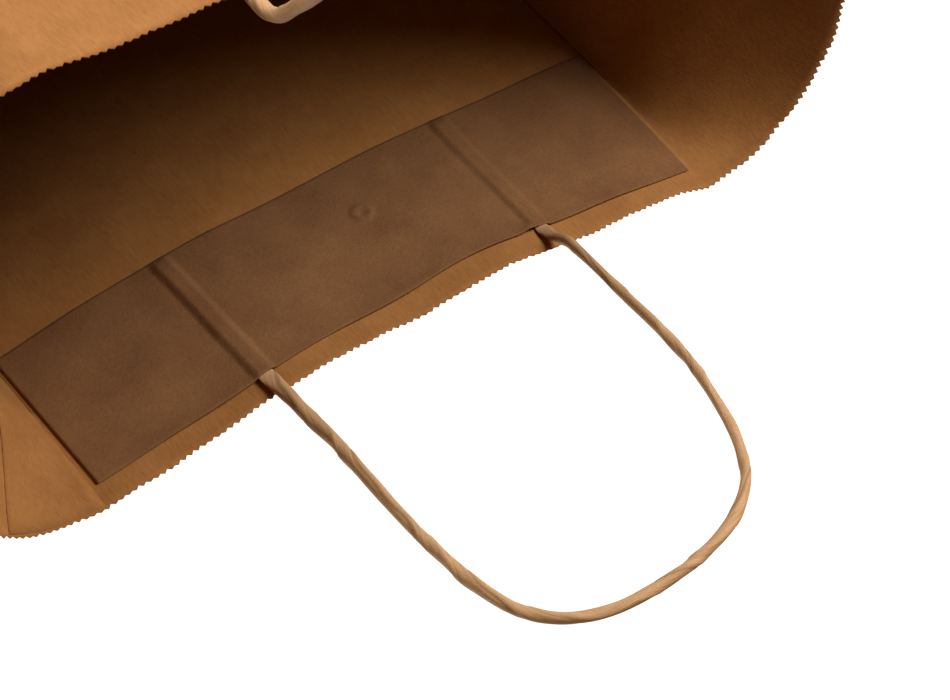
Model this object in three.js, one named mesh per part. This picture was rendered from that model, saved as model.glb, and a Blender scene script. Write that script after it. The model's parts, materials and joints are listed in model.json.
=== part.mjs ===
// Brown kraft paper carrier bag with two twisted paper cord handles.
// The body is one folded sheet, built here as panels that meet at its creases.
// Units are millimetres, +Z is up, and the origin is the centre of the base.

import * as THREE from 'three';

// Driving dimensions
const bagWidth = 204;
const bagDepth = 150;
const bagHeight = 275;
const paperThickness = 0.6;
const gap = 0.3; // clearance between pieces that touch

// How far the opened bag departs from a plain box at its mouth
const wallLeanOut = 4; // the creases lean out
const wallBowIn = 8; // the middle of a broad wall sinks in
const gussetFlare = 46; // the lip of a gusset stands out
const flareDepth = 120; // height of the flared zone below the mouth
const roundingDepth = 42; // height over which the creases open out
const gussetFoldIn = 6; // the gusset's centre crease sinks in at mid height
const creaseRoundness = 1.3; // power of a gusset's section: 1 is a sharp V, 2 is an ellipse
const mouthRoundness = 2.3;

// Handle units: a cord glued between two strips of paper
const handleSpacing = 95.25;
const cordDiameter = 3.5;
const patchEndGap = 3; // bare paper between a strip's end and the crease
const patchHeight = 50;
const mouthMargin = 9; // bare paper between the patch and the mouth
const legInset = 3; // the cord stops short of the patch's lower edge
const backingInset = 2; // the hidden strip is this much smaller all round
const ridgeSpread = 2.3; // width of the embossed ridge, in cord diameters
const ridgeFlatTop = 0.5; // share of the ridge's half width that stays at full height

// Handle joints
const pivotRise = 8; // height of the bend above the mouth
const bendClearance = 8; // from the bend's centre down to the fixed leg's end
const backHandleLean = 0; // degrees outwards from upright
const frontHandleLean = 50;

// Bottom folds
const bottomOverlap = 34;
const tuckReach = 46;
const flapTaper = 22;
const seamWidth = 16;

// How finely the curved pieces are drawn
const cordSides = 8;
const loopSteps = 64;
const legSteps = 8;
const wallColumns = 12;
const lowRows = 4;
const flaredRows = 8;
const leafColumns = 6;
const seamColumns = 4;
const ridgeColumns = 8;
const stripRows = 4;

const halfWidth = bagWidth / 2;
const halfDepth = bagDepth / 2;
const cordRadius = cordDiameter / 2;
const legX = handleSpacing / 2;
const wallFoot = paperThickness + gap;
const centreTurn = 1e-4; // a leaf starts just beside the centre crease
const patchHalfLength = halfWidth - patchEndGap;

// The loop seen square on, for legs at 47.5 each side: x, and height above the bend. Chosen by
// hand: straight legs, a rounder shoulder on the left, a nearly flat top
const loopHalfSpan = 47.5;
const loopPoints = [
  [47.5, 0], [47, 15], [47, 30], [47, 45], [46.5, 60], [45, 74], [41, 87], [33, 96], [21, 101],
  [7, 102], [-7, 101], [-20, 97], [-31, 89], [-38, 77], [-42, 64], [-45, 50], [-46.5, 36],
  [-47, 22], [-47.5, 10], [-47.5, 0],
];

const kraft = { color: 0xb98a5a, roughness: 0.85, metalness: 0 };
const patchKraft = { color: 0x8f6c4c, roughness: 0.88, metalness: 0 };
const cordKraft = { color: 0xc39a68, roughness: 0.8, metalness: 0 };

const bag = new THREE.Group();

function addMesh(parent, name, geometry, finish) {
  const mesh = new THREE.Mesh(geometry, new THREE.MeshStandardMaterial(finish));
  mesh.name = name;
  parent.add(mesh);
  return mesh;
}

function rise(z) {
  return z / bagHeight;
}

function smooth(t) {
  const c = Math.min(Math.max(t, 0), 1);
  return c * c * (3 - 2 * c);
}

// Distance from the middle of the bag to its vertical creases
function creaseDepth(z) {
  return halfDepth + wallLeanOut * rise(z) ** 3;
}

function wallBow(z) {
  return wallBowIn * rise(z) ** 1.5;
}

function gussetBulge(z) {
  const flared = Math.max(0, 1 - (bagHeight - z) / flareDepth);
  return gussetFlare * flared ** 1.6 - gussetFoldIn * Math.sin(Math.PI * rise(z));
}

// Sharp at the creases down in the bag, rounded at the mouth
function gussetRoundness(z) {
  const up = smooth(1 - (bagHeight - z) / roundingDepth);
  return creaseRoundness + (mouthRoundness - creaseRoundness) * up;
}

// Middle surface of a broad wall. side is 1 for the back and -1 for the front.
function wallSurface(side) {
  return (x, z) => {
    const share = x / halfWidth;
    return new THREE.Vector3(x, side * (creaseDepth(z) - wallBow(z) * (1 - share * share)), z);
  };
}

// Middle surface of a gusset. turn runs from -1 at the front crease to 1 at the back one.
function gussetSurface(side) {
  return (turn, z) => {
    const angle = turn * Math.PI / 2;
    const power = 2 / gussetRoundness(z);
    const across = Math.abs(Math.sin(angle)) ** power;
    const out = Math.max(Math.cos(angle), 0) ** power;
    const x = side * (halfWidth + gussetBulge(z) * out);
    const y = gap / 2 + (creaseDepth(z) - gap / 2) * across;
    return new THREE.Vector3(x, Math.sign(turn) * y, z);
  };
}

// A closed sheet between two offsets from a surface. Rows run up, columns run across.
// offset(u, z) moves the sheet inwards, along the normal that faces the bag's inside.
function sheetGeometry(surface, uList, zList, thickness, offset, inward) {
  const columns = uList.length;
  const positions = [];
  const index = [];
  const uStep = 1e-3 * Math.abs(uList[columns - 1] - uList[0]);
  const zStep = 0.05;
  for (const layer of [0, 1]) {
    for (const z of zList) {
      for (const u of uList) {
        const point = surface(u, z);
        const across = surface(u + uStep, z).sub(surface(u - uStep, z));
        const up = surface(u, z + zStep).sub(surface(u, z - zStep));
        const normal = across.cross(up).normalize();
        if (normal.dot(inward) < 0) {
          normal.negate();
        }
        const depth = offset(u, z) + (layer - 0.5) * thickness;
        point.addScaledVector(normal, depth);
        positions.push(point.x, point.y, z);
      }
    }
  }
  const inner = columns * zList.length;
  const quad = (a, b, c, d) => index.push(a, b, c, a, c, d);
  for (let row = 0; row + 1 < zList.length; row += 1) {
    for (let column = 0; column + 1 < columns; column += 1) {
      const corner = row * columns + column;
      quad(corner, corner + 1, corner + columns + 1, corner + columns);
      const back = inner + corner;
      quad(back, back + columns, back + columns + 1, back + 1);
    }
  }
  const rim = [];
  for (let column = 0; column < columns; column += 1) {
    rim.push(column);
  }
  for (let row = 1; row < zList.length; row += 1) {
    rim.push(row * columns + columns - 1);
  }
  for (let column = columns - 2; column >= 0; column -= 1) {
    rim.push((zList.length - 1) * columns + column);
  }
  for (let row = zList.length - 2; row > 0; row -= 1) {
    rim.push(row * columns);
  }
  rim.forEach((here, k) => {
    const next = rim[(k + 1) % rim.length];
    quad(here, inner + here, inner + next, next);
  });
  const geometry = new THREE.BufferGeometry();
  geometry.setAttribute('position', new THREE.Float32BufferAttribute(positions, 3));
  geometry.setIndex(index);
  return faceOutwards(geometry);
}

function signedVolume(geometry) {
  const at = geometry.attributes.position;
  const index = geometry.index.array;
  const corners = [new THREE.Vector3(), new THREE.Vector3(), new THREE.Vector3()];
  let volume = 0;
  for (let k = 0; k < index.length; k += 3) {
    corners.forEach((corner, j) => corner.fromBufferAttribute(at, index[k + j]));
    volume += corners[0].dot(corners[1].clone().cross(corners[2]));
  }
  return volume;
}

function faceOutwards(geometry) {
  if (signedVolume(geometry) < 0) {
    const index = Array.from(geometry.index.array);
    geometry.setIndex(index.reverse());
  }
  geometry.computeVertexNormals();
  return geometry;
}

function spread(from, to, steps) {
  return Array.from({ length: steps + 1 }, (_, k) => from + (to - from) * k / steps);
}

// Rows are closer together in the flared zone
function sheetRows(from, to) {
  const bend = Math.max(from, bagHeight - flareDepth);
  const low = bend > from ? spread(from, bend, lowRows).slice(0, -1) : [];
  return low.concat(spread(bend, to, flaredRows));
}

function addWall(name, side) {
  const edge = halfWidth - paperThickness / 2 - gap;
  const rows = sheetRows(wallFoot, bagHeight);
  const inward = new THREE.Vector3(0, -side, 0);
  const sheet = sheetGeometry(wallSurface(side), spread(-edge, edge, wallColumns), rows,
    paperThickness, () => 0, inward);
  addMesh(bag, name, sheet, kraft);
}

// Columns of a gusset leaf, closer together over the glued seam
function leafTurns() {
  const across = 1 - seamWidth / halfDepth;
  const seamTurn = Math.asin(across ** (creaseRoundness / 2)) / (Math.PI / 2);
  return {
    field: spread(centreTurn, seamTurn, leafColumns),
    seam: spread(seamTurn, 1, seamColumns),
  };
}

// A gusset is two leaves that meet at its centre crease
function addGussetLeaf(name, side, end) {
  const { field, seam } = leafTurns();
  const turns = [...field, ...seam.slice(1)].map((turn) => turn * end);
  const rows = sheetRows(wallFoot, bagHeight);
  const inward = new THREE.Vector3(-side, 0, 0);
  const leaf = sheetGeometry(gussetSurface(side), turns, rows, paperThickness, () => 0, inward);
  addMesh(bag, name, leaf, kraft);
}

// The glued edge of the sheet, inside the right gusset's back leaf
function addSeam() {
  const inward = new THREE.Vector3(-1, 0, 0);
  const lift = paperThickness + gap;
  const turns = leafTurns().seam.slice(0, -1);
  const rows = sheetRows(wallFoot + 3 * lift, bagHeight);
  const strip = sheetGeometry(gussetSurface(1), turns, rows, paperThickness, () => lift, inward);
  addMesh(bag, 'side_seam_tab', strip, kraft);
}

function plateGeometry(outline, bottom) {
  const shape = new THREE.Shape(outline.map(([x, y]) => new THREE.Vector2(x, y)));
  const plate = new THREE.ExtrudeGeometry(shape, { depth: paperThickness, bevelEnabled: false });
  plate.translate(0, 0, bottom);
  return plate;
}

// Block bottom: two side tucks, then the back flap, then the front flap outermost
function addBottom() {
  const layer = paperThickness + gap;
  const inset = paperThickness / 2 + gap;
  const innerX = halfWidth - inset;
  const innerY = halfDepth - inset;
  const outerX = halfWidth + paperThickness / 2;
  const outerY = halfDepth + paperThickness / 2;
  const reach = halfDepth - flapTaper;
  addMesh(bag, 'bottom_outer_flap', plateGeometry([
    [-outerX, -outerY], [outerX, -outerY], [outerX, reach - flapTaper], [outerX - flapTaper, reach],
    [flapTaper - outerX, reach], [-outerX, reach - flapTaper],
  ], 0), kraft);
  const inner = reach - bottomOverlap;
  addMesh(bag, 'bottom_inner_flap', plateGeometry([
    [innerX, innerY], [-innerX, innerY], [-innerX, flapTaper - inner], [flapTaper - innerX, -inner],
    [innerX - flapTaper, -inner], [innerX, flapTaper - inner],
  ], layer), kraft);
  for (const [name, side] of [['bottom_left_tuck', -1], ['bottom_right_tuck', 1]]) {
    const tip = innerX - tuckReach;
    const corners = [
      [side * innerX, -innerY], [side * innerX, innerY],
      [side * tip, innerY - tuckReach], [side * tip, tuckReach - innerY],
    ];
    addMesh(bag, name, plateGeometry(side > 0 ? corners : corners.reverse(), 2 * layer), kraft);
  }
}

// How far the cord's middle lies inside the wall's middle surface
const backingOffset = paperThickness + gap;
const cordOffset = backingOffset + paperThickness / 2 + gap + cordRadius;
const ridgeHalfWidth = ridgeSpread * cordDiameter / 2;

// The cover strip is pressed over both legs of the cord
function coverOffset(x) {
  const flat = backingOffset + paperThickness + gap;
  const lift = cordOffset + cordRadius + gap + paperThickness / 2 - flat;
  const far = Math.abs(Math.abs(x) - legX) / ridgeHalfWidth;
  return flat + lift * smooth((1 - far) / (1 - ridgeFlatTop));
}

// Columns of a cover strip: close together over the two ridges
function patchColumns() {
  const inside = legX - ridgeHalfWidth;
  const outside = legX + ridgeHalfWidth;
  const ridge = (x) => spread(x - ridgeHalfWidth, x + ridgeHalfWidth, ridgeColumns);
  return [
    ...spread(-patchHalfLength, -outside, 3).slice(0, -1), ...ridge(-legX),
    ...spread(-inside, inside, 6).slice(1, -1), ...ridge(legX),
    ...spread(outside, patchHalfLength, 3).slice(1),
  ];
}

function addHandlePatch(name, side) {
  const inward = new THREE.Vector3(0, -side, 0);
  const top = bagHeight - mouthMargin;
  const foot = top - patchHeight;
  const backingReach = patchHalfLength - backingInset;
  const cover = sheetGeometry(wallSurface(side), patchColumns(), spread(foot, top, stripRows),
    paperThickness, coverOffset, inward);
  addMesh(bag, `${name}_handle_cover_strip`, cover, patchKraft);
  const backing = sheetGeometry(wallSurface(side),
    spread(-backingReach, backingReach, wallColumns),
    spread(foot + backingInset, top - backingInset, stripRows),
    paperThickness, () => backingOffset, inward);
  addMesh(bag, `${name}_handle_backing_strip`, backing, patchKraft);
}

// Where the middle of a cord leg runs beside the wall
function legPoint(side, x, z) {
  const point = wallSurface(side)(x, Math.min(z, bagHeight));
  point.y -= side * cordOffset;
  point.z = z;
  return point;
}

function tubeGeometry(path, steps) {
  const section = new THREE.Shape(Array.from({ length: cordSides }, (_, k) => {
    const angle = 2 * Math.PI * k / cordSides;
    return new THREE.Vector2(cordRadius * Math.cos(angle), cordRadius * Math.sin(angle));
  }));
  return new THREE.ExtrudeGeometry(section, { steps, extrudePath: path, bevelEnabled: false });
}

function addFixedLeg(name, side, x) {
  const foot = bagHeight - mouthMargin - patchHeight + legInset;
  const top = bagHeight + pivotRise - bendClearance;
  const points = spread(foot, top, 6).map((z) => legPoint(side, x, z));
  addMesh(bag, name, tubeGeometry(new THREE.CatmullRomCurve3(points), legSteps), cordKraft);
}

// The free loop hangs in a group at its bend, leaned outwards about X
function addLoop(name, side, lean) {
  const hinge = new THREE.Group();
  hinge.position.copy(legPoint(side, legX, bagHeight + pivotRise)).setX(0);
  hinge.rotation.x = -side * THREE.MathUtils.degToRad(lean);
  const widen = legX / loopHalfSpan;
  const points = loopPoints.map(([x, height]) => new THREE.Vector3(x * widen, 0, height));
  addMesh(hinge, name, tubeGeometry(new THREE.CatmullRomCurve3(points), loopSteps), cordKraft);
  bag.add(hinge);
}

function addHandle(name, side, lean) {
  addHandlePatch(name, side);
  addFixedLeg(`${name}_cord_left_leg`, side, -legX);
  addFixedLeg(`${name}_cord_right_leg`, side, legX);
  addLoop(`${name}_handle_loop`, side, lean);
}

addWall('front_wall', -1);
addWall('back_wall', 1);
for (const [name, side] of [['left', -1], ['right', 1]]) {
  addGussetLeaf(`${name}_gusset_front_leaf`, side, -1);
  addGussetLeaf(`${name}_gusset_back_leaf`, side, 1);
}
addSeam();
addBottom();
addHandle('back', 1, backHandleLean);
addHandle('front', -1, frontHandleLean);

export default bag;
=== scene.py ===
import json
import math

import bpy
import numpy as np
from mathutils import Matrix, Vector

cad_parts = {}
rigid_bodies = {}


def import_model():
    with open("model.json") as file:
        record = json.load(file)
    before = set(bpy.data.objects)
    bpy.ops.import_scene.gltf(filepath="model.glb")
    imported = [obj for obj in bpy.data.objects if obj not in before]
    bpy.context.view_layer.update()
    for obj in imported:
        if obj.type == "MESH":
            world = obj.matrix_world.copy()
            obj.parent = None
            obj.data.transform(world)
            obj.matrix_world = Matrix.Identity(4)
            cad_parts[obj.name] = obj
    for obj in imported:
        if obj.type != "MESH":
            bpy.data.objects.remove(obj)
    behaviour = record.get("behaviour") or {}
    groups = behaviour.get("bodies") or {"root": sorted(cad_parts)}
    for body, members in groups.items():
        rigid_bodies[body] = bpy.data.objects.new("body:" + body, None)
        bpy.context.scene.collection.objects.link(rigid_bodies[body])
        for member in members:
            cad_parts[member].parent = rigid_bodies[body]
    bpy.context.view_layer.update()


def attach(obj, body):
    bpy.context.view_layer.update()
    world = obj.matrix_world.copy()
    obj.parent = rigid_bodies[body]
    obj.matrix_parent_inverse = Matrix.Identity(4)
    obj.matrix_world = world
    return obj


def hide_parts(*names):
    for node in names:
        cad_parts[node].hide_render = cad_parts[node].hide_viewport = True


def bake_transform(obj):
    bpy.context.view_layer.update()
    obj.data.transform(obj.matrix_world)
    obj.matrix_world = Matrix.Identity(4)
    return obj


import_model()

# Kraft paper carrier bag, standing open. Lengths are in millimetres until a mesh is written.
mm = 0.001

# Sizes of the opened bag
bag = {
    "width": 204, "depth": 150, "height": 275,
    "leanOut": 4,            # the creases lean out at the mouth
    "bowIn": 8,              # the middle of a broad wall sinks in at the mouth
    "leanPower": 3, "bowPower": 1.5, "flarePower": 1.6, "pullPower": 4,    # growth with height
    "flare": 51, "flareDepth": 120, "roundingDepth": 42,
    "foldIn": 6,             # the gusset's centre crease sinks in at mid height
    "creasePower": 1.3, "mouthPower": 2.34,     # superellipse powers below the lip and at it
    "cornerPull": 9.6,       # the back wall's far corner is pulled out by the hand that opened it
    "sway": ((-1.2, 1.6, 207), (1.05, 11.7, 66)),   # the back wall's edge: size, shift and length
    "foldHeight": 85,        # the fold that lets the bottom lie flat against the front
    "foldDepth": 0.45, "gussetFoldDepth": 0.4, "foldWidth": 1.3,
    "cornerFold": 2.2,       # the gusset's slanting folds stand out from the bottom's corners
    "centreFold": 0.8, "centreFoldWidth": 1.6,
    "cockles": ((150, 0.9), (80, 0.5), (46, 0.28), (26, 0.13)),     # wave length and height
    "cockleWays": 3,         # waves of each length, each its own way
    "stiffBeside": 30, "gussetStiffBeside": 22, "stiffFoot": 60,    # no cockles this near a crease
    "sheet": 0.3,            # paper, a little thicker than the real 0.14 so that edges show
}
handle = {
    "spacing": 95.25, "diameter": 3.5, "pivotRise": 8, "inset": 3.25,
    "gluedInset": 1.0,       # the glued legs lie this far inside the wall's middle
    "patchLength": 201,      # 1.5 past the frame's strip at each end, almost up to the creases
    "patchHeight": 50, "margin": 9, "legInset": 3,
    "closing": (0.9, 1.4),   # how far the left and right leg close in towards the mouth
    "closingFade": 60,       # and the height over which the loop gets back to its full width
    "backLean": 0, "frontLean": 50,      # degrees outward at rest
}
halfWidth = bag["width"] / 2
halfDepth = bag["depth"] / 2
mouth = bag["height"]
legX = handle["spacing"] / 2
pivotZ = mouth + handle["pivotRise"]


def hexColour(text):
    # sRGB hex to linear colour with alpha 1
    values = [int(text[k:k + 2], 16) / 255 for k in (0, 2, 4)]
    linear = [v / 12.92 if v <= 0.04045 else ((v + 0.055) / 1.055) ** 2.4 for v in values]
    return (*linear, 1.0)


def smooth(t):
    # 3t^2 - 2t^3, held at 0 and 1
    c = np.clip(t, 0, 1)
    return c * c * (3 - 2 * c)


def gridFaces(rows, columns, closed=False):
    # quads of a grid whose points run along a row first; closed joins the last column to the first
    steps = columns if closed else columns - 1
    r, c = np.meshgrid(np.arange(rows - 1), np.arange(steps), indexing="ij")
    a = r * columns + c
    b = r * columns + (c + 1) % columns
    return np.stack([a, b, b + columns, a + columns], axis=-1).reshape(-1, 4).tolist()


def makePiece(name, points, faces, material, attributes=None):
    # points in millimetres; attributes are named values, one number or vector for each point
    mesh = bpy.data.meshes.new(name)
    mesh.from_pydata((points.reshape(-1, 3) * mm).tolist(), [], faces)
    for key, values in (attributes or {}).items():
        kind, field = ("FLOAT", "value") if values.ndim == 1 else ("FLOAT_VECTOR", "vector")
        layer = mesh.attributes.new(key, kind, "POINT")
        layer.data.foreach_set(field, values.astype(np.float32).ravel())
    mesh.polygons.foreach_set("use_smooth", np.ones(len(mesh.polygons), dtype=bool))
    mesh.materials.append(material)
    mesh.update()
    piece = bpy.data.objects.new(name, mesh)
    bpy.context.scene.collection.objects.link(piece)
    return piece


def giveThickness(piece, thickness):
    solid = piece.modifiers.new("Paper thickness", "SOLIDIFY")
    solid.thickness = thickness * mm
    solid.offset = 0
    return piece


def addNode(tree, kind, settings=None, values=None, links=None):
    # settings are the node's own, values its sockets', links are socket: (node, output)
    node = tree.nodes.new(kind)
    for key, value in (settings or {}).items():
        setattr(node, key, value)
    for key, value in (values or {}).items():
        node.inputs[key].default_value = value
    for key, (source, output) in (links or {}).items():
        tree.links.new(source.outputs[output], node.inputs[key])
    return node


def setRamp(node, stops):
    elements = node.color_ramp.elements
    while len(elements) < len(stops):
        elements.new(0.5)
    for element, (place, colour) in zip(elements, stops):
        element.position = place
        element.color = colour
    return node


camera = {
    "place": (324.2, -556.6, 720.6), "target": (-2.6, 71.0, 294.2),
    "roll": 134.9,           # degrees; the bag's up runs to the lower right of the view
    "lens": 117.0, "sensor": 36.0,
}


def makeCamera():
    place = Vector(camera["place"]) * mm
    aim = (Vector(camera["target"]) * mm - place).normalized()
    right = aim.cross(Vector((0, 0, 1))).normalized()
    level = Matrix((right, right.cross(aim), -aim)).transposed()
    data = bpy.data.cameras.new("viewCamera")
    data.lens = camera["lens"]
    data.sensor_width = camera["sensor"]
    data.clip_start = 0.01
    viewCamera = bpy.data.objects.new("viewCamera", data)
    turned = level @ Matrix.Rotation(math.radians(camera["roll"]), 3, "Z")
    viewCamera.matrix_world = Matrix.Translation(place) @ turned.to_4x4()
    bpy.context.scene.collection.objects.link(viewCamera)
    bpy.context.scene.camera = viewCamera


makeCamera()
print("camera set")


def rise(z):
    return np.clip(z / mouth, 0, 1.1)


def creaseDepth(z):
    # half the depth, plus the lean times the cube of the height
    return halfDepth + bag["leanOut"] * rise(z) ** bag["leanPower"]


def gussetBulge(z):
    # the lip's flare grows as a power towards the mouth; half a sine folds the middle in
    flared = np.clip(1 - (mouth - z) / bag["flareDepth"], 0, 1.1) ** bag["flarePower"]
    return bag["flare"] * flared - bag["foldIn"] * np.sin(np.pi * np.clip(z / mouth, 0, 1))


def gussetPower(z):
    up = smooth(1 - (mouth - z) / bag["roundingDepth"])
    return bag["creasePower"] + (bag["mouthPower"] - bag["creasePower"]) * up


def legPlace(left, z):
    # the two legs close in a little on their way up from the strip's foot to the mouth
    foot = mouth - handle["margin"] - handle["patchHeight"]
    up = np.clip((z - foot) / (mouth - foot), 0, 1)
    closeLeft, closeRight = handle["closing"]
    return legX - closeLeft * up if left else -legX + closeRight * up


def cornerPull(x, z):
    # square of the distance towards -X, fourth power of the height
    return bag["cornerPull"] * np.clip(-x / halfWidth, 0, 1.5) ** 2 * rise(z) ** bag["pullPower"]


def sway(x, z):
    # two sine waves along the back wall, with the fourth power of the height
    waves = sum(size * np.sin(2 * np.pi * (x + shift) / length) for size, shift, length in bag["sway"])
    return waves * rise(z) ** bag["pullPower"]


def cockle(x, y, z, seed):
    # a sum of seeded sine waves through space, from hand-sized waves down to small dents
    draw = np.random.default_rng(seed)
    total = np.zeros(np.broadcast(x, y, z).shape)
    for length, height in bag["cockles"]:
        for _ in range(bag["cockleWays"]):
            way = draw.normal(size=3)
            way /= np.linalg.norm(way)
            shift = draw.uniform(0, 2 * np.pi)
            turn = 2 * np.pi / length
            total = total + height / 2 * np.sin(turn * (way[0] * x + way[1] * y + way[2] * z) + shift)
    return total


def acrossFold(z):
    # a bell curve over the height of the level fold
    return np.exp(-((z - bag["foldHeight"]) / bag["foldWidth"]) ** 2)


def wallSurface(side, x, z):
    # a wall at the crease depth whose middle bows in as a parabola; cockled away from its creases
    x, z = np.broadcast_arrays(np.asarray(x, float), np.asarray(z, float))
    bow = bag["bowIn"] * rise(z) ** bag["bowPower"] * (1 - (x / halfWidth) ** 2)
    free = smooth((halfWidth - np.abs(x)) / bag["stiffBeside"]) * smooth(z / bag["stiffFoot"])
    wave = cockle(x, side * halfDepth, z, 5 + side) * free * (0.35 + 0.65 * rise(z))
    fold = bag["foldDepth"] * acrossFold(z)
    pull = cornerPull(x, z) + sway(x, z) if side > 0 else 0
    y = creaseDepth(z) - bow + pull + wave - fold
    return np.stack([x, side * y, z], axis=-1)


def gussetSurface(side, turn, z):
    # a superellipse quarter on each side of the centre crease, with the two folds of the
    # bottom running up from the corners to meet on it
    turn, z = np.broadcast_arrays(np.asarray(turn, float), np.asarray(z, float))
    angle = turn * np.pi / 2
    power = 2 / gussetPower(z)
    across = np.abs(np.sin(angle)) ** power
    out = np.clip(np.cos(angle), 0, None) ** power
    y = np.sign(turn) * creaseDepth(z) * across
    free = smooth((creaseDepth(z) - np.abs(y)) / bag["gussetStiffBeside"]) * smooth(z / bag["stiffFoot"])
    wave = cockle(side * halfWidth, y, z, 9 + side) * free * (0.4 + 0.6 * rise(z))
    cornerFold = bag["cornerFold"] * np.clip(1 - (np.abs(y) + z) / halfDepth, 0, 1)
    centre = bag["centreFold"] * np.exp(-(y / bag["centreFoldWidth"]) ** 2) * smooth(z / 30)
    fold = bag["gussetFoldDepth"] * acrossFold(z) * smooth((halfDepth - np.abs(y)) / 6)
    x = side * (halfWidth + gussetBulge(z) * out + wave + cornerFold - centre - fold)
    pull = (cornerPull(-halfWidth, z) if side < 0 else 0) + sway(side * halfWidth, z)
    y = y + np.where(turn > 0, pull * across, 0)
    return np.stack([x, y, z], axis=-1)


def carryAlong(path):
    # a frame at every place along a path: the unit tangent, the unit normal square to it and to Y
    # (the handles lie nearly across Y, so it turns smoothly), and the third side
    step = np.gradient(path, axis=0)
    tangent = step / np.linalg.norm(step, axis=1, keepdims=True)
    normal = np.cross(tangent, [0.0, 1.0, 0.0])
    normal = normal / np.linalg.norm(normal, axis=1, keepdims=True)
    return tangent, normal, np.cross(tangent, normal)


def evenPath(points, spacing):
    # a Catmull-Rom curve through the points, then points at even distances along it
    p = np.vstack([2 * points[0] - points[1], points, 2 * points[-1] - points[-2]])[:, None]
    t = np.linspace(0, 1, 24, endpoint=False)[:, None]
    a, b, c, d = p[:-3], p[1:-2], p[2:-1], p[3:]
    runs = 0.5 * (2 * b + (c - a) * t + (2 * a - 5 * b + 4 * c - d) * t ** 2
                  + (3 * b - a - 3 * c + d) * t ** 3)
    fine = np.vstack([runs.reshape(-1, 3), points[-1:]])
    along = np.concatenate([[0], np.cumsum(np.linalg.norm(np.diff(fine, axis=0), axis=1))])
    even = np.linspace(0, along[-1], int(along[-1] / spacing) + 1)
    return np.stack([np.interp(even, along, fine[:, k]) for k in range(3)], axis=-1), even


cord = {
    "radius": 1.75, "lay": 44.0, "ring": 0.8, "sides": 30,
    "oval": 0.06,            # rolled paper is never quite round
    "seam": 0.10,            # depth of the groove beside the rolled edge, as a share of the radius
    "seamWidth": 0.32, "edgeStep": 0.06, "edgeWidth": 0.2, "crease": 0.03,
    "lumps": ((71, 0.9, 0.035), (38, 0.6, 0.03), (17, 0.25, 0.018)),    # length, swing, swelling
    "taper": (1.1, 0.83),    # loosely twisted at one end of the loop, tight at the other
    "flattened": 0.34,       # the glued legs are pressed flatter
    "fanned": 1.28,          # and spread a little where they leave the strip
    "bendReach": 7.0,        # the bend above the mouth takes this much of each leg
    "bendKnots": 4, "knotStep": 4.0,
    "blendEnd": 8,           # the loop follows its hinge wholly from here on
}
# The loop seen square on, the same list as the frame's: across, and height above the bend
loopPoints = np.array([
    (47.5, 0), (47, 15), (47, 30), (47, 45), (46.5, 60), (45, 74), (41, 87), (33, 96), (21, 101),
    (7, 102), (-7, 101), (-20, 97), (-31, 89), (-38, 77), (-42, 64), (-45, 50), (-46.5, 36),
    (-47, 22), (-47.5, 10), (-47.5, 0),
])


def handlePath(side, lean):
    # up one leg against the wall, round the bend above the mouth, over the loop and back down
    foot = mouth - handle["margin"] - handle["patchHeight"] + handle["legInset"]
    pivot = wallSurfacePlain(side, legX, mouth) - side * handle["inset"]
    reach = cord["bendReach"]
    tilt = math.radians(lean)
    low = np.append(np.arange(foot, mouth - 2, cord["knotStep"]), mouth - 1)
    settle = smooth((low - mouth + 9) / (handle["pivotRise"] - reach + 9)) * 0.5

    def leg(left):
        x = legPlace(left, low)
        y = wallSurface(side, x, low)[:, 1] - side * handle["gluedInset"]
        y = y + (pivot - y) * settle
        return np.stack([x, y, low], axis=-1)

    # the bend is a parabola from just below the pivot to just beyond it
    bent = np.linspace(0.25, 1, cord["bendKnots"])
    outward = bent ** 2 * reach * math.sin(tilt)
    upward = -(1 - bent) ** 2 * reach + bent ** 2 * reach * math.cos(tilt)

    def bend(x):
        return np.stack([np.full(len(bent), x), pivot + side * outward, pivotZ + upward], axis=-1)

    # the closing in of the legs fades out over the loop's lower part
    loop = loopPoints[loopPoints[:, 1] > reach + 2]
    left, right = float(legPlace(True, mouth)), float(legPlace(False, mouth))
    fade = 1 - smooth(loop[:, 1] / handle["closingFade"])
    shift = np.where(loop[:, 0] > 0, left - legX, right + legX) * fade
    high = np.stack([loop[:, 0] + shift, pivot + side * loop[:, 1] * math.sin(tilt),
                     pivotZ + loop[:, 1] * math.cos(tilt)], axis=-1)
    return np.vstack([leg(True), bend(left), high, bend(right)[::-1], leg(False)[::-1]]), pivot


def wallSurfacePlain(side, x, z):
    # the wall's y without its cockles, where the CAD has it
    bow = bag["bowIn"] * rise(z) ** bag["bowPower"] * (1 - (x / halfWidth) ** 2)
    return side * (creaseDepth(z) - bow)


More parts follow.
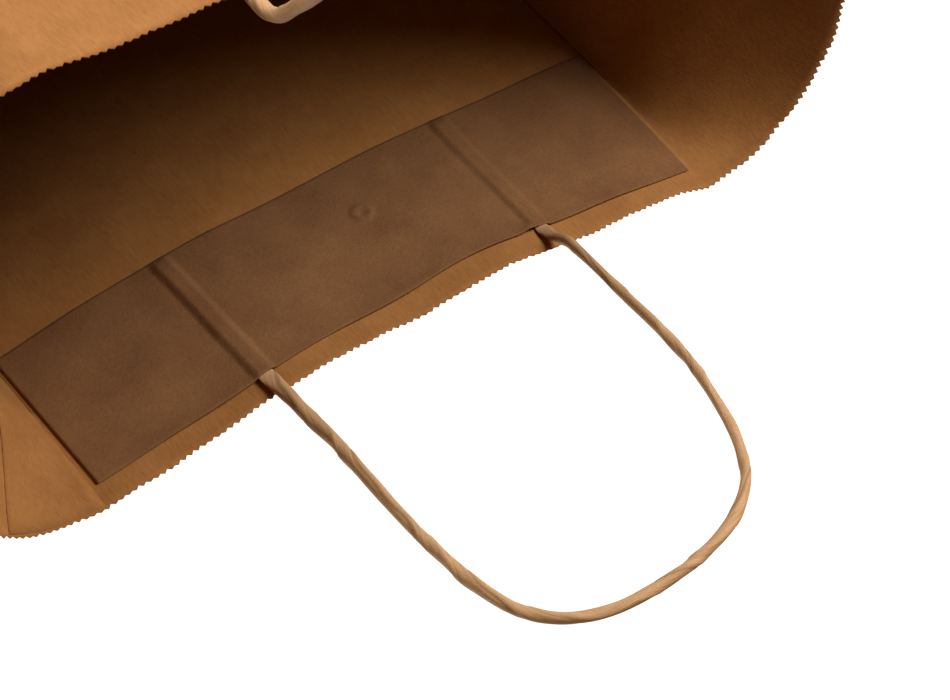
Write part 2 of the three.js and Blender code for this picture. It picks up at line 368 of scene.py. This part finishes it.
def cordSurface(path, along, seed):
    # radius = taper, times an oval, less a groove beside the rolled edge; the section turns
    # once in each lay, and slow seeded waves loosen and tighten the twist
    draw = np.random.default_rng(seed)
    share = along / along[-1]
    twist = 2 * np.pi * along / cord["lay"]
    lump = np.zeros_like(along)
    for length, swing, size in cord["lumps"]:
        shift = draw.uniform(0, 2 * np.pi, 2)
        twist = twist + swing * np.sin(2 * np.pi * along / length + shift[0])
        lump = lump + size * np.sin(2 * np.pi * along / length + shift[1])
    start, stop = cord["taper"]
    radius = cord["radius"] * (start + (stop - start) * smooth(share * 1.15) + lump)
    theta = np.linspace(0, 2 * np.pi, cord["sides"], endpoint=False)
    turned = (theta[None, :] - twist[:, None] + np.pi) % (2 * np.pi) - np.pi
    groove = cord["seam"] * np.exp(-(turned / cord["seamWidth"]) ** 2)
    step = cord["edgeStep"] * turned / np.pi * (1 - np.exp(-(turned / cord["edgeWidth"]) ** 2))
    crease = cord["crease"] * np.exp(-((np.abs(turned) - 2.0) / 0.3) ** 2)
    section = 1 + cord["oval"] * np.cos(2 * turned + 0.6) - groove + step - crease
    r = radius[:, None] * section
    tangent, normal, other = carryAlong(path)
    around = theta[None, :, None]
    ring = np.cos(around) * normal[:, None] + np.sin(around) * other[:, None]
    height = path[:, None, 2] - mouth
    glued = 1 - smooth((height + 7) / 12)
    fanned = smooth((height + 12) / 5) * (1 - smooth(height / 9))
    reach = r[..., None] * ring
    reach[..., 0] *= 1 + (cord["fanned"] - 1) * fanned
    reach[..., 1] *= 1 + (cord["flattened"] - 1) * glued
    points = path[:, None] + reach
    lay = np.stack([np.cos(turned) * 2, np.sin(turned) * 2, along[:, None] + 0 * turned], axis=-1)
    # the third value marks the groove and the creases, where the cord's material darkens its colour as
    # painted shade
    return points, lay, groove / cord["seam"] + crease * 8


def makeHandle(side, lean, seed, material):
    place = "back" if side > 0 else "front"
    knots, pivot = handlePath(side, lean)
    path, along = evenPath(knots, cord["ring"])
    points, lay, groove = cordSurface(path, along, seed)
    rows, columns = points.shape[:2]
    # each cut end is closed by a fan round its middle
    ring = np.arange(columns)
    after = (ring + 1) % columns
    last = (rows - 1) * columns
    caps = np.stack([after, ring, 0 * ring + rows * columns], axis=-1).tolist()
    caps += np.stack([last + ring, last + after, 0 * ring + rows * columns + 1], axis=-1).tolist()
    piece = makePiece(
        f"{place}_handle_cord", np.vstack([points.reshape(-1, 3), path[[0, -1]]]),
        gridFaces(rows, columns, closed=True) + caps, material,
        {"lay": np.vstack([lay.reshape(-1, 3), lay[[0, -1], 0]]),
         "groove": np.concatenate([groove.ravel(), [0, 0]])},
    )
    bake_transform(piece)
    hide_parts(f"{place}_handle_loop", f"{place}_cord_left_leg", f"{place}_cord_right_leg")
    print(f"{place} handle cord: {along[-1]:.0f} mm of cord")


def paperMaterial(name, look):
    # look gives the pulp's two cloud colours, the fibres' and specks' tones, and the roughness
    material = bpy.data.materials.new(name)
    material.use_nodes = True
    tree = material.node_tree
    tree.nodes.clear()
    place = addNode(tree, "ShaderNodeTexCoord")
    along = addNode(tree, "ShaderNodeMapping", {}, {"Scale": look["fibreStretch"]},
                    {"Vector": (place, "Object")})
    cloud = addNode(tree, "ShaderNodeTexNoise", {},
                    {"Scale": look["cloudScale"], "Detail": 5.0, "Roughness": 0.6},
                    {"Vector": (place, "Object")})
    fibre = addNode(tree, "ShaderNodeTexNoise", {},
                    {"Scale": look["fibreScale"], "Detail": 3.0, "Roughness": 0.65},
                    {"Vector": (along, "Vector")})
    speck = addNode(tree, "ShaderNodeTexVoronoi", {}, {"Scale": look["speckScale"]},
                    {"Vector": (along, "Vector")})
    clouded = setRamp(addNode(tree, "ShaderNodeValToRGB", links={"Fac": (cloud, "Fac")}),
                      [(0.3, hexColour(look["dark"])), (0.7, hexColour(look["light"]))])
    streaked = setRamp(addNode(tree, "ShaderNodeValToRGB", links={"Fac": (fibre, "Fac")}),
                       [(0.32, hexColour(look["fibreTone"])), (0.7, hexColour("FFFFFF"))])
    specked = setRamp(addNode(tree, "ShaderNodeValToRGB", links={"Fac": (speck, "Distance")}),
                      [(0.05, hexColour(look["speckTone"])), (0.16, hexColour("FFFFFF"))])
    pulp = addNode(tree, "ShaderNodeMix", {"data_type": "RGBA", "blend_type": "MULTIPLY"},
                   {"Factor": look["fibreShare"]}, {6: (clouded, 0), 7: (streaked, 0)})
    colour = addNode(tree, "ShaderNodeMix", {"data_type": "RGBA", "blend_type": "MULTIPLY"},
                     {"Factor": look["speckShare"]}, {6: (pulp, 2), 7: (specked, 0)})
    grain = addNode(tree, "ShaderNodeBump", {},
                    {"Strength": look["grain"], "Distance": 0.0004}, {"Height": (fibre, "Fac")})
    ripple = addNode(tree, "ShaderNodeBump", {}, {"Strength": look["ripple"], "Distance": 0.0015},
                     {"Height": (cloud, "Fac"), "Normal": (grain, "Normal")})
    rough = addNode(tree, "ShaderNodeMapRange", {},
                    {"To Min": look["roughness"] - 0.06, "To Max": look["roughness"] + 0.06},
                    {"Value": (fibre, "Fac")})
    surface = addNode(tree, "ShaderNodeBsdfPrincipled", {}, {"IOR": 1.5, "Specular IOR Level": 0.3},
                      {"Base Color": (colour, 2), "Roughness": (rough, "Result"),
                       "Normal": (ripple, "Normal")})
    addNode(tree, "ShaderNodeOutputMaterial", {}, {}, {"Surface": (surface, "BSDF")})
    return material


# Unbleached kraft, machine finished: warm and matt, faintly cloudy, with fibres that lie mostly
# up the bag. Real fibres are 0.03 mm wide and 3 mm long; drawn 0.7 mm wide so that they show.
# Clouds are 11 mm across and specks 2 mm apart.
kraftPaper = paperMaterial("Unbleached kraft paper", {
    "dark": "9E6934", "light": "AB753D", "cloudScale": 90.0,
    "fibreTone": "DCD2C8", "fibreShare": 0.55, "fibreScale": 1400.0, "fibreStretch": (1.0, 1.0, 0.2),
    "speckTone": "B89C84", "speckShare": 0.3, "speckScale": 520.0,
    "roughness": 0.84, "grain": 0.25, "ripple": 0.18,
})
# Recycled kraft of the reinforcing strips: greyer and darker, blotchy, with flecks of bark. The
# blotches are 13 mm across, the fibres drawn 0.7 mm wide as above, the flecks 1.6 mm apart.
recycledPaper = paperMaterial("Recycled kraft paper", {
    "dark": "7B5230", "light": "8A6039", "cloudScale": 75.0,
    "fibreTone": "D8D0C8", "fibreShare": 0.6, "fibreScale": 1500.0, "fibreStretch": (0.7, 1.0, 1.0),
    "speckTone": "9A8370", "speckShare": 0.4, "speckScale": 640.0,
    "roughness": 0.88, "grain": 0.4, "ripple": 0.25,
})


def twistedPaperMaterial():
    # Kraft paper rolled and twisted into cord: a slight polish from the former, streaks that run
    # with the lay, and painted shade that darkens the groove beside the rolled edge and the creases. The
    # lay attribute is in millimetres:
    # streaks are 0.6 mm wide and 7 mm long, wider than real ones so that they show
    look = {"dark": "AF8558", "light": "C79D70", "grooveShade": "8B633C", "roughness": 0.66}
    material = bpy.data.materials.new("Twisted paper cord")
    material.use_nodes = True
    tree = material.node_tree
    tree.nodes.clear()
    lay = addNode(tree, "ShaderNodeAttribute", {"attribute_name": "lay"})
    groove = addNode(tree, "ShaderNodeAttribute", {"attribute_name": "groove"})
    along = addNode(tree, "ShaderNodeMapping", {}, {"Scale": (1.0, 1.0, 0.09)},
                    {"Vector": (lay, "Vector")})
    streak = addNode(tree, "ShaderNodeTexNoise", {}, {"Scale": 1.6, "Detail": 4.0, "Roughness": 0.65},
                     {"Vector": (along, "Vector")})
    fibre = addNode(tree, "ShaderNodeTexNoise", {}, {"Scale": 7.0, "Detail": 2.0},
                    {"Vector": (along, "Vector")})
    toned = setRamp(addNode(tree, "ShaderNodeValToRGB", links={"Fac": (streak, "Fac")}),
                    [(0.32, hexColour(look["dark"])), (0.68, hexColour(look["light"]))])
    # painted shade: the colour darkens towards the groove tone in the groove and the creases
    tuck = addNode(tree, "ShaderNodeMapRange", {}, {"From Min": 0.15, "From Max": 1.0, "To Max": 0.75},
                   {"Value": (groove, "Fac")})
    colour = addNode(tree, "ShaderNodeMix", {"data_type": "RGBA"}, {7: hexColour(look["grooveShade"])},
                     {"Factor": (tuck, "Result"), 6: (toned, 0)})
    wrinkle = addNode(tree, "ShaderNodeBump", {}, {"Strength": 0.45, "Distance": 0.0004},
                      {"Height": (streak, "Fac")})
    grain = addNode(tree, "ShaderNodeBump", {}, {"Strength": 0.25, "Distance": 0.0002},
                    {"Height": (fibre, "Fac"), "Normal": (wrinkle, "Normal")})
    surface = addNode(tree, "ShaderNodeBsdfPrincipled", {},
                      {"Roughness": look["roughness"], "IOR": 1.5, "Specular IOR Level": 0.4},
                      {"Base Color": (colour, 2), "Normal": (grain, "Normal")})
    addNode(tree, "ShaderNodeOutputMaterial", {}, {}, {"Surface": (surface, "BSDF")})
    return material


twistedPaper = twistedPaperMaterial()
makeHandle(1, handle["backLean"], 3, twistedPaper)
makeHandle(-1, handle["frontLean"], 8, twistedPaper)

body = {
    "toothPitch": 2.2, "toothDepth": 0.85, "rowStep": 5.6,
    "toothSpread": (0.55, 1.2),      # shallowest and deepest tooth, as shares of the depth
    "rubbed": (-46.0, 9.0, 0.65),    # teeth worn down beside a cord: place, half width, share lost
    "lowRows": 15, "seed": 12,
}


def segmentPoint(kind, side, way, share, z):
    # one panel of the tube: share runs 0 to 1 along it, going round the bag
    turn = way * (1 - 2 * share)
    if kind == "wall":
        return wallSurface(side, halfWidth * turn, z)
    return gussetSurface(side, turn, z)


def makeBody():
    # the folded tube: panels in turn round the bag, two columns to each saw tooth at the mouth,
    # spaced evenly along the mouth, and the top row dropping to every other column; three waves
    # round the mouth keep the cut from being level
    panels = [("wall", 1, 1), ("gusset", -1, 1), ("wall", -1, -1), ("gusset", 1, -1)]
    fine = np.linspace(0, 1, 600)
    shares = []
    for kind, side, way in panels:
        line = segmentPoint(kind, side, way, fine, mouth)
        length = np.concatenate([[0], np.cumsum(np.linalg.norm(np.diff(line, axis=0), axis=1))])
        columns = 2 * round(length[-1] / body["toothPitch"])
        shares.append(np.interp(np.arange(columns) / columns * length[-1], length, fine))
    columns = sum(len(share) for share in shares)
    draw = np.random.default_rng(body["seed"])
    place = np.arange(columns) / columns * 2 * np.pi
    edge = mouth - 0.3 + 0.3 * np.sin(7 * place + 1)
    edge = edge + 0.22 * np.sin(17 * place) + 0.16 * np.sin(41 * place + 2)
    tooth = body["toothDepth"] * draw.uniform(*body["toothSpread"], columns)
    rubbedAt, rubbedWidth, rubbedShare = body["rubbed"]
    backX = halfWidth * (1 - 2 * shares[0])
    tooth[:len(backX)] *= 1 - rubbedShare * np.exp(-((backX - rubbedAt) / rubbedWidth) ** 4)
    edge = edge - tooth * (np.arange(columns) % 2)
    fold = bag["foldHeight"]
    low = np.linspace(0.5, fold - 2.4, body["lowRows"])
    high = np.linspace(fold + 2.4, mouth - 2.2, int((mouth - fold) / body["rowStep"]))
    heights = np.concatenate([low, [fold - 1.1, fold, fold + 1.1], high])
    z = np.vstack([np.repeat(heights[:, None], columns, axis=1), edge])
    rows = len(z)
    parts, at = [], 0
    for (kind, side, way), share in zip(panels, shares):
        parts.append(segmentPoint(kind, side, way, share[None, :], z[:, at:at + len(share)]))
        at += len(share)
    points = np.concatenate(parts, axis=1)
    piece = makePiece("paper_body", points, gridFaces(rows, columns, closed=True), kraftPaper)
    giveThickness(piece, bag["sheet"])
    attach(piece, "bag")
    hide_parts("front_wall", "back_wall", "left_gusset_front_leaf", "left_gusset_back_leaf",
                "right_gusset_front_leaf", "right_gusset_back_leaf")
    print(f"paper body: {rows} rows by {columns} columns, {columns // 2} teeth")


makeBody()

strip = {
    "flat": 0.62,            # the cover strip's distance inside the wall's middle
    "ridge": 1.25,           # how far it stands proud over a cord
    "ridgeCore": 1.4, "ridgeSlope": 2.6, "ridgeFoot": 3.5,
    "backing": 0.36, "sheet": 0.18, "margin": 8.1,
    "glueRing": (-8.3, 235.0, 2.3, 1.3),      # a glue nozzle's round mark: x, z, radius, rim
    "glueRimWidth": 0.9, "blister": 0.5,
    "curl": (1.2, 4.5, 2.6),                  # a lifted edge beside one leg: height, gap, half width
    "rowStep": 0.8, "ridgeReach": 6, "ridgeStep": 0.3,
    "backingInset": 2, "backingRows": 20, "backingColumns": 100,
}


def stripTop(side, x):
    # the upper edge is cut and glued a little unevenly
    return (mouth - strip["margin"] + 0.7 * np.sin(2 * np.pi * (x - 30) / 150)
            + 0.3 * np.sin(2 * np.pi * x / 47 + side))


def stripHeight(side, x, z):
    # flat, plus a rounded ridge over each leg, plus blisters where the glue missed, plus an edge
    # that lifts here and there
    away = np.minimum(np.abs(x - legPlace(True, z)), np.abs(x - legPlace(False, z)))
    ridge = 1 - smooth((away - strip["ridgeCore"]) / strip["ridgeSlope"])
    foot = mouth - handle["margin"] - handle["patchHeight"]
    ridge = ridge * smooth((z - foot + 0.5) / strip["ridgeFoot"])
    blister = np.clip(0.25 + 0.5 * cockle(x * 1.6, side * 40.0, z * 1.6, 31 + side), 0, 1.2)
    blister = blister * smooth((halfWidth - 4 - np.abs(x)) / 12) * smooth((z - foot) / 8) * (1 - ridge)
    ringX, ringZ, ringRadius, ringHeight = strip["glueRing"]
    reach = np.hypot(x - ringX, z - ringZ) - ringRadius
    blister = blister + ringHeight * np.exp(-(reach / strip["glueRimWidth"]) ** 2) * (side > 0)
    lift = 0.22 + 0.2 * np.sin(2 * np.pi * x / 64 + 2 * side)
    curlHeight, curlGap, curlWidth = strip["curl"]
    curl = curlHeight * np.exp(-((x + legX - curlGap) / curlWidth) ** 2)
    edge = smooth((z - stripTop(side, x) + 4) / 4) * (1 - 0.8 * ridge)
    return strip["flat"] + strip["ridge"] * ridge + strip["blister"] * blister + (lift + curl) * edge


def stripColumns(reach):
    # close together over the ridges
    near, fine = strip["ridgeReach"], strip["ridgeStep"]
    plain = np.arange(-reach, reach + 0.1, strip["rowStep"])
    ridges = [np.arange(x - near, x + near + 0.1, fine) for x in (-legX, legX)]
    away = np.abs(np.abs(plain) - legX) > near + fine
    return np.sort(np.concatenate([plain[away], *ridges]))


def makeStrips(side):
    place = "back" if side > 0 else "front"
    x = stripColumns(handle["patchLength"] / 2)
    foot = mouth - handle["margin"] - handle["patchHeight"]
    share = np.linspace(0, 1, int(handle["patchHeight"] / strip["rowStep"]))[:, None]
    z = foot + share * (stripTop(side, x)[None, :] - foot)
    points = wallSurface(side, x[None, :] + 0 * z, z)
    points[..., 1] -= side * stripHeight(side, x[None, :] + 0 * z, z)
    faces = gridFaces(len(z), len(x))
    cover = makePiece(f"{place}_cover_strip", points, faces, recycledPaper)
    giveThickness(cover, strip["sheet"])
    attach(cover, "bag")
    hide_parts(f"{place}_handle_cover_strip")
    inset, rows, columns = strip["backingInset"], strip["backingRows"], strip["backingColumns"]
    backX = np.linspace(-1, 1, columns) * (handle["patchLength"] / 2 - inset)
    backZ = np.linspace(foot + inset, mouth - handle["margin"] - inset - 1, rows)[:, None]
    points = wallSurface(side, backX[None, :] + 0 * backZ, backZ + 0 * backX)
    points[..., 1] -= side * strip["backing"]
    backing = makePiece(f"{place}_backing_strip", points, gridFaces(rows, columns), recycledPaper)
    giveThickness(backing, strip["sheet"])
    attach(backing, "bag")
    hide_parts(f"{place}_handle_backing_strip")


makeStrips(1)
makeStrips(-1)
print("handle strips made")

bottom = {
    "overlap": 34, "tuckReach": 46, "taper": 22, "seamWidth": 16,
    "levels": (0.3, 1.0, 1.7),     # outer flap, inner flap, side tucks
    "step": 2.5, "columns": 80, "lift": 0.12,
    "inside": 0.6,                 # the inner papers stop this far inside the body sheet
    "seamRows": 60, "seamColumns": 14,
}


def makeFlap(name, start, stop, halfAcross, level, across="x"):
    # a flat flap from start to stop, whose half width at each place is halfAcross(place), lifting a
    # little where the glue missed it
    rows = int(abs(stop - start) / bottom["step"]) + 1
    place = np.linspace(start, stop, rows)[:, None]
    share = np.linspace(-1, 1, bottom["columns"])[None, :]
    along = place + 0 * share
    wide = halfAcross(place) * share
    x, y = (wide, along) if across == "x" else (along, wide)
    z = level + bottom["lift"] * np.clip(cockle(x, y, 0 * x, 41), 0, 1.5)
    piece = makePiece(name + "_paper", np.stack([x, y, z], axis=-1),
                      gridFaces(rows, bottom["columns"]), kraftPaper)
    giveThickness(piece, bag["sheet"])
    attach(piece, "bag")
    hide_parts(name)


def makeBottom():
    # outer flap from the front, inner flap from the back over it, then the two side tucks
    inside = bottom["inside"]
    reach = halfDepth - bottom["taper"]
    inner = reach - bottom["overlap"]
    taper = bottom["taper"]
    outerLevel, innerLevel, tuckLevel = bottom["levels"]
    makeFlap("bottom_outer_flap", -halfDepth, reach,
             lambda y: halfWidth - np.clip(y - reach + taper, 0, taper), outerLevel)
    makeFlap("bottom_inner_flap", halfDepth - inside, -inner,
             lambda y: halfWidth - inside - np.clip(-y - inner + taper, 0, taper), innerLevel)
    tuck = bottom["tuckReach"]
    edge = halfWidth - inside
    for name, side in (("bottom_left_tuck", -1), ("bottom_right_tuck", 1)):
        makeFlap(name, side * edge, side * (edge - tuck),
                 lambda x: halfDepth - inside - (edge - np.abs(x)), tuckLevel, "y")


def makeSeam():
    # the glued edge of the sheet, inside the right gusset beside the back crease
    across = 1 - bottom["seamWidth"] / halfDepth
    first = math.asin(across ** (bag["creasePower"] / 2)) / (math.pi / 2)
    rows, columns = bottom["seamRows"], bottom["seamColumns"]
    turn = np.linspace(first, 0.995, columns)[None, :]
    z = np.linspace(3, mouth - 1.5, rows)[:, None]
    points = gussetSurface(1, turn + 0 * z, z + 0 * turn)
    points[..., 0] -= 0.5
    points[..., 1] = np.minimum(points[..., 1], creaseDepth(z) - bottom["inside"])
    piece = makePiece("side_seam_paper", points, gridFaces(rows, columns), kraftPaper)
    giveThickness(piece, bag["sheet"])
    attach(piece, "bag")
    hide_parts("side_seam_tab")


makeBottom()
makeSeam()
print("bottom and side seam made")

studio = {
    "floor": "F4F3F1", "floorSize": 8.0, "world": "FFC98F", "worldStrength": 0.14, "glow": 0.8,
    # place and target in metres, size in metres, power in watts
    # the key stands in front and to the left, so that the bag's inside stays dark; the rear one
    # is a weak fill for the back
    "key": {"place": (-1.25, -1.5, 0.95), "target": (0.0, 0.0, 0.25), "size": 0.95, "power": 45.0},
    "rear": {"place": (0.9, 2.0, 0.35), "target": (0.0, 0.0, 0.15), "size": 0.6, "power": 14.0},
}


def makeStudio():
    half = studio["floorSize"] / 2
    mesh = bpy.data.meshes.new("studioFloor")
    corners = [(-half, -half, 0), (half, -half, 0), (half, half, 0), (-half, half, 0)]
    mesh.from_pydata(corners, [], [(0, 1, 2, 3)])
    sweep = bpy.data.materials.new("Matt studio paper")
    sweep.use_nodes = True
    shader = sweep.node_tree.nodes["Principled BSDF"]
    shader.inputs["Base Color"].default_value = hexColour(studio["floor"])
    shader.inputs["Roughness"].default_value = 0.95
    shader.inputs["Emission Color"].default_value = (1, 1, 1, 1)
    shader.inputs["Emission Strength"].default_value = studio["glow"]
    mesh.materials.append(sweep)
    floor = bpy.data.objects.new("studioFloor", mesh)
    bpy.context.scene.collection.objects.link(floor)
    for name in ("key", "rear"):
        look = studio[name]
        data = bpy.data.lights.new(name + "Light", "AREA")
        data.shape = "DISK"
        data.size = look["size"]
        data.energy = look["power"]
        lamp = bpy.data.objects.new(name + "Light", data)
        place = Vector(look["place"])
        lamp.location = place
        lamp.rotation_euler = (Vector(look["target"]) - place).to_track_quat("-Z", "Y").to_euler()
        bpy.context.scene.collection.objects.link(lamp)
    world = bpy.data.worlds.new("studioWorld")
    world.use_nodes = True
    background = world.node_tree.nodes["Background"]
    background.inputs["Color"].default_value = hexColour(studio["world"])
    background.inputs["Strength"].default_value = studio["worldStrength"]
    bpy.context.scene.world = world
    bpy.context.scene.view_settings.view_transform = "Standard"


makeStudio()
print("studio made")
